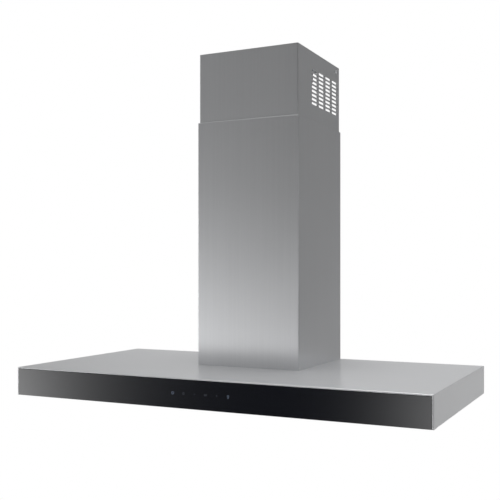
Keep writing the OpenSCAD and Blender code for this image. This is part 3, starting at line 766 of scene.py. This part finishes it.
# Soft panels: (azimuth, elevation) in degrees, brightness, tightness
PANELS = [
    ((-44, -10), 1.4, 300.0),
    ((-50, -8), 6.5, 70.0),
    ((-10, -10), 3.2, 200.0),
    ((-40, 15), 0.4, 40.0),
    ((50, 0), 2.5, 80.0),
    ((168, -8), 0.5, 30.0),
    ((-165, 8), 0.2, 25.0),
    ((-150, 8), 0.45, 25.0),
    ((150, 35), 0.3, 6.0),
    ((0, 90), 7.0, 14.0),
]


# --------------------------------------------------------------------------- sub-assemblies
@dataclass
class Canopy:
    """Folded steel canopy: top with the inlet hole, sides, back, returns and front lips."""

    sheet: float = 1.0 * MM
    bend: float = 1.1 * MM
    lip: float = 2.5 * MM
    returns: float = 12.0 * MM
    inlet_half: float = 100 * MM
    inlet_edge: float = 5 * MM

    def build(self, steel: bpy.types.Material, glass: bpy.types.Material) -> None:
        """Makes the shell and the glass front.

        Args:
            steel: Brushed steel of the shell.
            glass: Black glass of the front.
        """
        Piece("canopy_sheet", self.shell(), steel, "hood", "canopy_steel", ("canopy_shell",),
              grain=Grain.X, bend=self.bend, thickness=self.sheet).build()
        low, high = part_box("front_glass")
        outline = filleted([(low.x, low.z), (high.x, low.z), (high.x, high.z), (low.x, high.z)],
                           0.6 * MM, 3, closed=True)
        Piece("glass_panel", slab(outline, low.y, high.y, 0.5 * MM, Plane.XZ), glass, "hood",
              "black_glass", ("front_glass",)).build()

    def shell(self) -> Section:
        """Middle surface of the folded sheet.

        Rings of four corners, in the order front left, back left, back right, front right:
        the inner edge of the returns, the bottom edge, the top edge and the inlet hole; then
        the flat frame of lips around the glass.

        Returns:
            Points and faces.
        """
        low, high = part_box("canopy_shell")
        half = self.sheet / 2
        x, y0, y1 = high.x - half, low.y + half, high.y - half
        z0, z1 = low.z + half, high.z - half
        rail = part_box("front_rail")[1].y
        inside = self.returns - half
        hole = self.inlet()
        points = [
            (-x, y0, z0), (-x, rail, z0), (-x, y1, z0), (x, y1, z0), (x, rail, z0), (x, y0, z0),
            (-x + inside, rail, z0), (-x + inside, y1 - inside, z0),
            (x - inside, y1 - inside, z0), (x - inside, rail, z0),
            (-x, y0, z1), (-x, rail, z1), (-x, y1, z1), (x, y1, z1), (x, rail, z1), (x, y0, z1),
            *[(px, py, z1) for px, py in hole],
            (-x + self.lip - half, y0, z0), (-x + self.lip - half, y0, z1 - self.lip + half),
            (x - self.lip + half, y0, z1 - self.lip + half), (x - self.lip + half, y0, z0),
        ]
        faces = [
            [0, 10, 11, 1], [1, 11, 12, 2], [2, 12, 13, 3], [3, 13, 14, 4], [4, 14, 15, 5],
            [6, 1, 2, 7], [7, 2, 3, 8], [8, 3, 4, 9],
            [10, 15, 19, 16], [11, 10, 16, 17, 12], [12, 17, 18, 13], [14, 13, 18, 19, 15],
            [20, 21, 10, 0], [21, 22, 15, 10], [22, 23, 5, 15],
        ]
        return np.array(points), faces

    def inlet(self) -> list[tuple[float, float]]:
        """Corners of the inlet hole under the motor box, from the measured free space."""
        openings = frame["record"]["physics"]["openings"]
        box = next(o for o in openings if o["name"] == "inlet_throat")["box_m"]
        x = self.inlet_half
        y0, y1 = box[0][1] - self.inlet_edge, box[1][1] + self.inlet_edge
        return [(-x, y0), (-x, y1), (x, y1), (x, y0)]


@dataclass
class LowerCover:
    """Lower chimney cover: a U in plan with folded back edges and a hem along its top."""

    sheet: float = 1.0 * MM
    bend: float = 2.6 * MM
    fold: float = 6.0 * MM
    hem: float = 10.0 * MM
    hem_edge: float = 0.3 * MM

    def build(self, steel: bpy.types.Material) -> None:
        """Makes the cover."""
        low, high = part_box("lower_cover")
        corners = [
            (low.x + self.fold, high.y), (low.x, high.y), (low.x, low.y),
            (high.x, low.y), (high.x, high.y), (high.x - self.fold, high.y),
        ]
        path = filleted(corners, self.bend, 6)
        roll = arc((self.sheet, high.z - self.sheet), self.sheet, 180, 0, 6)
        hem_end = high.z - self.hem
        inner = [
            (2 * self.sheet, hem_end), (self.sheet, hem_end - self.hem_edge), (self.sheet, low.z),
        ]
        profile = np.concatenate([[(0, low.z)], roll, inner])
        Piece("lower_cover_sheet", upright(path, profile), steel, "hood", "cover_steel",
              ("lower_cover",), grain=Grain.Z, smooth=40).build()


@dataclass
class UpperCover:
    """Upper chimney cover, with a block of round-ended vent slots on each side."""

    sheet: float = 1.0 * MM
    bend: float = 1.6 * MM
    fold: float = 6.0 * MM
    columns: int = 4
    rows: int = 9
    slot_l: float = 30.0 * MM
    slot_h: float = 5.0 * MM
    pitch_y: float = 41.25 * MM
    pitch_z: float = 8.9 * MM
    drop: float = 40.0 * MM
    first_y: float = -160.0 * MM

    def build(self, steel: bpy.types.Material) -> None:
        """Makes the cover."""
        Piece("upper_cover_sheet", self.sheet_surface(), steel, "upper_cover", "cover_steel",
              ("upper_cover",), grain=Grain.Z, bend=self.bend, thickness=self.sheet).build()

    def sheet_surface(self) -> Section:
        """Middle surface: fold, vented side, front, vented side, fold."""
        low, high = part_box("upper_cover")
        half = self.sheet / 2
        x, y0, y1 = high.x - half, low.y + half, high.y - half
        z0, z1 = low.z, high.z
        flat, faces = self.vented_side(y0, y1, z0, z1)
        sides = [
            (placed(flat, x, Plane.YZ), faces),
            (placed(flat, -x, Plane.YZ), [f[::-1] for f in faces]),
        ]
        inner = x - self.fold + half
        strips = [
            (np.array([(a, y, z0), (b, y, z0), (b, y, z1), (a, y, z1)]), [[0, 1, 2, 3]])
            for a, b, y in ((-x, x, y0), (x, inner, y1), (-inner, -x, y1))
        ]
        return welded(joined(sides + strips))

    def vented_side(
        self, y0: float, y1: float, z0: float, z1: float
    ) -> tuple[np.ndarray, list]:
        """Flat side panel with its slots, in (y, z).

        Each slot sits in a cell of the block. Its outline is a stadium with the same number
        of points as the cell's border, and quads join the two. Four large faces fill the
        rest of the panel.

        Args:
            y0: Front edge.
            y1: Back edge.
            z0: Bottom edge.
            z1: Top edge, which the first row is measured down from.

        Returns:
            Points in the plane and faces.
        """
        ends, spans = 8, 2
        r = self.slot_h / 2
        straight = self.slot_l / 2 - r
        right = arc((straight, 0), r, -90, 90, ends)
        slot = np.concatenate([
            right[:-1], line2((straight, r), (-straight, r), spans)[:-1],
            -right[:-1], line2((-straight, -r), (straight, -r), spans)[:-1],
        ])
        cy, cz = self.pitch_y / 2, self.pitch_z / 2
        border = [(cy, -cz), (cy, cz), (-cy, cz), (-cy, -cz), (cy, -cz)]
        steps = (ends, spans, ends, spans)
        cell = np.concatenate([line2(a, b, n)[:-1] for a, b, n in zip(border, border[1:], steps)])
        middle = (slot + cell) / 2
        rings = np.stack([slot, middle, cell])
        column = self.first_y + np.arange(self.columns) * self.pitch_y
        row = z1 - self.drop - np.arange(self.rows) * self.pitch_z
        centres = np.stack(np.meshgrid(column, row), axis=-1).reshape(-1, 1, 1, 2)
        points = (rings[None] + centres).reshape(-1, 2)
        ring_faces = grid_faces(3, len(slot), False, True)[:, ::-1]
        count = self.columns * self.rows
        faces = (ring_faces[None] + np.arange(count)[:, None, None] * 3 * len(slot)).reshape(-1, 4)
        a0, a1 = column[0] - cy, column[-1] + cy
        b0, b1 = row[-1] - cz, row[0] + cz
        side = line2((0, b0), (0, b1), ends * self.rows)[:, 1]
        level = line2((a0, 0), (a1, 0), spans * self.columns)[:, 0]
        around = [
            np.array([(y0, z0), *[(a0, b) for b in side], (y0, z1)]),
            np.array([(y1, z0), (y1, z1), *[(a1, b) for b in side[::-1]]]),
            np.array([(y0, z1), *[(a, b1) for a in level], (y1, z1)]),
            np.array([(y0, z0), (y1, z0), *[(a, b0) for a in level[::-1]]]),
        ]
        parts = [(points, faces.tolist())] + [(p, [list(range(len(p)))]) for p in around]
        flat, joined_faces = joined([(np.pad(p, ((0, 0), (0, 1))), f) for p, f in parts])
        return flat[:, :2], joined_faces


def line2(a: tuple[float, float], b: tuple[float, float], spans: int) -> np.ndarray:
    """Evenly spaced points from a to b in a plane."""
    t = np.linspace(0, 1, spans + 1)[:, None]
    return np.array(a) * (1 - t) + np.array(b) * t


def welded(surface: Section) -> Section:
    """Merges points that coincide to a hundredth of a millimetre."""
    points, faces = surface
    keys = np.round(points / (0.01 * MM)).astype(np.int64)
    _, first, inverse = np.unique(keys, axis=0, return_index=True, return_inverse=True)
    inverse = inverse.reshape(-1)
    return points[first], [[int(inverse[i]) for i in f] for f in faces]


class Symbol(Enum):
    """Printed touch symbols, each as strokes of (x, z) points in millimetres."""

    POWER = "power"
    FAN = "fan"
    LESS = "less"
    TIMER = "timer"
    MORE = "more"
    LAMP = "lamp"

    def strokes(self) -> list[np.ndarray]:
        """Centre lines of the symbol's strokes.

        Returns:
            One array of points for each stroke.
        """
        if self is Symbol.POWER:
            return [arc((0, 0), 2.6, 125, 415, 24), line2((0, 0.6), (0, 3.2), 1)]
        if self is Symbol.FAN:
            blade = arc((0, 1.3), 1.2, -60, 180, 10)
            turns = [(math.cos(t), math.sin(t)) for t in np.radians((90, 210, 330))]
            return [blade @ np.array([[c, n], [-n, c]]) for c, n in turns]
        if self is Symbol.LESS:
            return [line2((-1.6, 0), (1.6, 0), 1)]
        if self is Symbol.TIMER:
            zigzag = np.array([(-1, 1.6), (1, 1.6), (1, 0), (-1, 0), (-1, -1.6), (1, -1.6)])
            return [zigzag + [x, 0] for x in (-1.8, 1.8)]
        if self is Symbol.MORE:
            return [line2((-1.6, 0), (1.6, 0), 1), line2((0, -1.6), (0, 1.6), 1)]
        bars = [line2((-1, z), (1, z), 1) for z in (-2.2, -3)]
        return [arc((0, 0.6), 2.0, -60, 240, 20), *bars]


@dataclass
class TouchPanel:
    """Six generic touch symbols in a row in the middle of the glass."""

    pitch: float = 24.3 * MM
    height: float = 30.0 * MM
    stroke: float = 0.55
    ink: float = 0.06 * MM

    def build(self, bright: bpy.types.Material, faint: bpy.types.Material) -> None:
        """Makes one piece for each symbol.

        Args:
            bright: Ink of the first and the last symbol, which are always lit.
            faint: Ink of the others.
        """
        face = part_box("front_glass")[0].y
        for i, symbol in enumerate(Symbol):
            middle = np.array([(i - 2.5) * self.pitch, self.height])
            lines = [sheet_section(s, self.stroke) * MM + middle for s in symbol.strokes()]
            marks = [slab(s, face - self.ink, face + self.ink, 0.01 * MM, Plane.XZ) for s in lines]
            ends = symbol in (Symbol.POWER, Symbol.LAMP)
            Piece("symbol_" + symbol.value, joined(marks), bright if ends else faint, "hood",
                  "black_glass").build()


def socket_screw(
    head: float, height: float, shank: float, length: float, hexagon: float
) -> Section:
    """Button-head screw along +Z with a hexagon socket, its head's underside at zero.

    Rings of 48 points rise from the shank's tip to the dome; in the socket each ring's radius
    is the hexagon's, half its width over the cosine of the angle from the nearest flat.

    Args:
        head: Radius of the head.
        height: Height of the head.
        shank: Radius of the shank.
        length: Length of the shank.
        hexagon: Half the width of the socket.

    Returns:
        Points and faces.
    """
    a = np.radians(np.arange(48) * 7.5)
    flat = np.abs((np.degrees(a) + 30) % 60 - 30)
    hexa = hexagon / np.cos(np.radians(flat))
    dome = np.radians(np.linspace(0, 62, 6))
    even = np.ones_like(a)
    top = math.sin(dome[-1])
    rings = [(shank * 0.7 * even, -length), (shank * even, -length + shank * 0.4),
             (shank * even, 0), (head * even, 0)]
    rings += [
        (head * (0.35 + 0.65 * math.cos(t)) * even, height * (0.15 + 0.85 * math.sin(t) / top))
        for t in dome
    ]
    rings += [(hexa * 1.05, height), (hexa, height * 0.95), (hexa * 0.98, height * 0.45)]
    radius = np.stack([r for r, _ in rings])
    level = np.array([z for _, z in rings])
    flat_points = np.stack([np.cos(a), np.sin(a)], axis=1)[None] * radius[..., None]
    return loft(placed(flat_points, level[:, None], Plane.XY))


def copies(surface: Section, places: np.ndarray) -> Section:
    """The same surface at several places, given as an array of (place, xyz)."""
    points, faces = surface
    return joined([(points + place, faces) for place in places])


@dataclass
class Fasteners:
    """Visible screws: two through the upper cover, and those that hold the intake pan."""

    cover_head: float = 3.4 * MM
    cover_height: float = 1.6 * MM
    pan_head: float = 3.3 * MM
    pan_height: float = 0.9 * MM

    def build(self, plated: bpy.types.Material, white: bpy.types.Material) -> None:
        """Makes both sets.

        Args:
            plated: Bright zinc plating of the pan's screws.
            white: White zinc of the cover's screws, paled into a painted highlight.
        """
        low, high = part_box("cover_screws")
        points, faces = socket_screw(
            self.cover_head, self.cover_height, 2.0 * MM, 9.0 * MM, 1.1 * MM)
        seat = np.array([high.x - self.cover_height, (low.y + high.y) / 2, (low.z + high.z) / 2])
        right = points[:, [2, 0, 1]] + seat
        sides = [(right, faces), (right * [-1, 1, 1], [f[::-1] for f in faces])]
        Piece("cover_screw_pair", joined(sides), white, "upper_cover", "zinc_screws",
              ("cover_screws",)).build()
        low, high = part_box("pan_screws")
        points, faces = socket_screw(self.pan_head, self.pan_height, 1.5 * MM, 5.5 * MM, 1.0 * MM)
        down = points * [1, 1, -1], [f[::-1] for f in faces]
        x = high.x - self.pan_head
        rows = np.linspace(low.y + self.pan_head, high.y - self.pan_head, 4)
        grid = np.stack(np.meshgrid([-x, x], rows, [low.z + self.pan_height]), axis=-1)
        Piece("pan_screw_set", copies(down, grid.reshape(-1, 3)), plated, "hood", "zinc_screws",
              ("pan_screws",)).build()


@dataclass
class Filters:
    """Three baffle filters: two layers of folded channels in each, tied by cross bars."""

    count: int = 10
    sheet: float = 0.8 * MM
    fill: float = 0.64
    bend: float = 1.2 * MM
    bar: float = 3.0 * MM
    bar_in: float = 3.5 * MM
    bar_end: float = 2.0 * MM

    def build(self, steel: bpy.types.Material) -> None:
        """Makes the baffles of each filter.

        Args:
            steel: Bright rolled steel of the filters.
        """
        for place in ("left", "middle", "right"):
            node = "filter_baffles_" + place
            Piece("baffles_" + place, self.channels(node), steel, "filter_" + place, "filter_steel",
                  (node,), grain=Grain.Y, smooth=40).build()

    def channels(self, node: str) -> Section:
        """Lower channels open upwards, upper channels open downwards over their gaps.

        Args:
            node: CAD node whose box they fill.

        Returns:
            Points and faces.
        """
        low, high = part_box(node)
        half = self.sheet / 2
        pitch = (high.x - low.x) / (self.count - 1 + self.fill)
        wide = pitch * self.fill
        middle = (low.z + high.z) / 2
        first = low.x + wide / 2
        up = [(-wide / 2 + half, middle + 0.6 * MM), (-wide / 2 + half, low.z + half),
              (wide / 2 - half, low.z + half), (wide / 2 - half, middle + 0.6 * MM)]
        down = [(x, low.z + high.z - z) for x, z in up]
        shapes = [(up, first + k * pitch) for k in range(self.count)]
        shapes += [(down, first + (k + 0.5) * pitch) for k in range(self.count - 1)]
        parts = []
        for corners, x in shapes:
            outline = sheet_section(filleted(corners, self.bend, 4), self.sheet) + [x, 0]
            ends = placed(np.stack([outline, outline]), np.array([[low.y], [high.y]]), Plane.XZ)
            parts.append(loft(ends))
        x0, x1 = low.x + self.bar_end, high.x - self.bar_end
        for y in (low.y + self.bar_in, high.y - self.bar_in):
            y0, y1 = y - self.bar / 2, y + self.bar / 2
            bar = filleted([(x0, y0), (x1, y0), (x1, y1), (x0, y1)], 0.5 * MM, 3, True)
            parts.append(slab(bar, middle + 0.3 * MM, middle + 1.3 * MM, 0.2 * MM))
        return joined(parts)


@dataclass
class Lamps:
    """Two recessed lamps: a turned bezel with a rolled lip around a frosted lens."""

    def build(self, trim: bpy.types.Material, lens: bpy.types.Material) -> None:
        """Makes bezel and lens on each side.

        Args:
            trim: Finish of the bezel.
            lens: Frosted glass.
        """
        for place in ("left", "right"):
            low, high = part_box("lamp_bezel_" + place)
            centre = ((low.x + high.x) / 2, (low.y + high.y) / 2, 0.0)
            r = (high.x - low.x) / 2
            eye, neck_in, neck_out = r - 8.5 * MM, r - 6.5 * MM, r - 4.7 * MM
            lip, ledge = low.z + 1.0 * MM, low.z + 1.25 * MM
            corners = [
                (r, lip), (r - 0.2 * MM, low.z), (eye, low.z), (eye, ledge),
                (neck_in, ledge), (neck_in, high.z), (neck_out, high.z), (neck_out, lip),
            ]
            ring = filleted(corners, 0.15 * MM, 3, closed=True)
            Piece("bezel_" + place, lathe(ring, centre, 96), trim, "hood", "lamp_trim",
                  ("lamp_bezel_" + place,)).build()
            low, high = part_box("lamp_lens_" + place)
            r = (high.x - low.x) / 2
            sweep = np.linspace(0.02, 0.97, 12)
            bowl = np.stack([r * sweep, low.z + 0.9 * MM * sweep**2], axis=1)
            disc = np.concatenate([bowl, [(r, low.z + 1.1 * MM), (r, high.z), (r * 0.02, high.z)]])
            Piece("lens_" + place, lathe(disc, centre, 96), lens, "hood", "frosted_lens",
                  ("lamp_lens_" + place,)).build()


def dress_nodes(plated: bpy.types.Material) -> None:
    """Gives every CAD node that stays its own finish.

    Args:
        plated: Bright zinc plating of the small screws.
    """
    # Even grey sheet with a soft broad shine and no grain to see
    folded = PlainFinish("satin_steel_sheet", "cfd0d2", 1.0, 0.3, 3.0, variation=0.03).build()
    # Dull zinc in flat crystals, each a slightly different grey
    galvanised = GalvanisedSteel().build()
    # Darker, smoother steel, with small sharp glints
    bright = PlainFinish("cold_rolled_steel", "b8babc", 1.0, 0.28, 1.2, variation=0.04).build()
    # Pale matt metal with the fine sandy skin of a casting
    cast = PlainFinish("die_cast_aluminium", "b2b4b5", 1.0, 0.42, 0.7, 0.03).build()
    # Near-black plastic with a fine mould texture that dulls its shine
    dark = PlainFinish("black_abs_moulding", "1d1e20", 0.0, 0.45, 0.5, 0.02).build()
    # Milky off-white plastic with a waxy shine
    pale = PlainFinish("natural_nylon", "dcdcd4", 0.0, 0.42, 0.8, 0.02, 0.03).build()
    # Flat black, with hardly any shine
    rubber = PlainFinish("black_rubber", "151515", 0.0, 0.75, 0.6, 0.03).build()
    # Glossy dark green lacquer, uneven over the copper below it
    board = PlainFinish("solder_masked_board", "1f4d33", 0.0, 0.35, 0.9, 0.03, 0.12).build()
    # Brownish, mottled metal: varnished wire over stacked steel
    copper = PlainFinish("laminated_core_and_copper", "8a5f45", 1.0, 0.4, 0.6, 0.05, 0.15).build()
    dress(["intake_pan", "front_rail"], folded)
    dress(["motor_box", "control_box", "control_lid", "wall_plate", "top_bracket", "base_bracket",
           "outlet_collar"], galvanised, 0.3 * MM)
    dress([f"filter_frame_{p}" for p in ("left", "middle", "right")], folded, 0.35 * MM)
    dress([f"filter_latch_{p}" for p in ("left", "middle", "right")], cast, 0.25 * MM)
    dress([f"latch_spring_{p}" for p in ("left", "middle", "right")], bright)
    dress(["lamp_can_left", "lamp_can_right", "motor_housing", "motor_bracket"], cast)
    dress(["wall_spacers", "motor_shaft", "damper_pin", "motor_rotor", "capacitor_clip"], bright)
    dress(["flap_left", "flap_right"], bright)
    dress(["blower_screws"], plated)
    dress(["touch_housing", "scroll_left", "scroll_right", "impeller", "mains_gland"], dark)
    dress(["glide_strips", "capacitor", "lamp_leads"], pale)
    dress(["lamp_board_left", "lamp_board_right", "touch_board", "control_board"], board)
    dress(["glass_tape", "motor_bushes", "motor_leads"], rubber)
    dress(["motor_stator"], copper)


# --------------------------------------------------------------------------- main
def main() -> None:
    """Builds the studio and every sub-assembly, in order."""
    logging.basicConfig(level=logging.INFO, format="%(name)s: %(message)s")
    bpy.context.scene.view_settings.view_transform = "Standard"
    Studio().build()
    # Brushed from side to side; lies flat, so it shows more of its lacquer's pale scatter
    canopy_steel = BrushedSteel("brushed_stainless_canopy", Grain.X, metallic=0.5).build()
    # Brushed upwards, so its sheen is drawn out sideways
    cover_steel = BrushedSteel("brushed_stainless_covers", Grain.Z).build()
    glass = BlackGlass().build()
    Canopy().build(canopy_steel, glass)
    LowerCover().build(cover_steel)
    UpperCover().build(cover_steel)
    # Two symbols show pale blue-grey, the rest are barely lighter than the glass
    lit_ink = PrintedInk("lit_ceramic_ink", "8f9fb8", 0.04).build()
    ink = PrintedInk("ceramic_ink", "3c424d", 0.0).build()
    TouchPanel().build(lit_ink, ink)
    # Bright, slightly bluish, mirror-like plating
    plated = PlainFinish("bright_zinc_plate", "d3d6da", 1.0, 0.22, 2.0, variation=0.03).build()
    # Whitish zinc plating, made pale and barely metallic as a painted highlight, so it stays light
    # in any direction
    white = PlainFinish("white_passivated_zinc", "e6e8ea", 0.3, 0.35, 2.0, variation=0.03).build()
    Fasteners().build(plated, white)
    # Brighter and sharper than the shell: mill-rolled strip, with its lines along the baffles
    filter_steel = BrushedSteel("bright_rolled_steel", Grain.Y, "d6d7d9", 0.2, 0.5).build()
    Filters().build(filter_steel)
    # Warm grey plating with a soft ring of light
    trim = PlainFinish("satin_nickel", "c4c2bd", 1.0, 0.24, 1.5, variation=0.03).build()
    # White etched glass without a sharp reflection
    lens = PlainFinish("frosted_lamp_glass", "eef0ee", 0.0, 0.55, 0.6, 0.02, 0.02).build()
    Lamps().build(trim, lens)
    dress_nodes(plated)


if __name__ == "__main__":
    main()
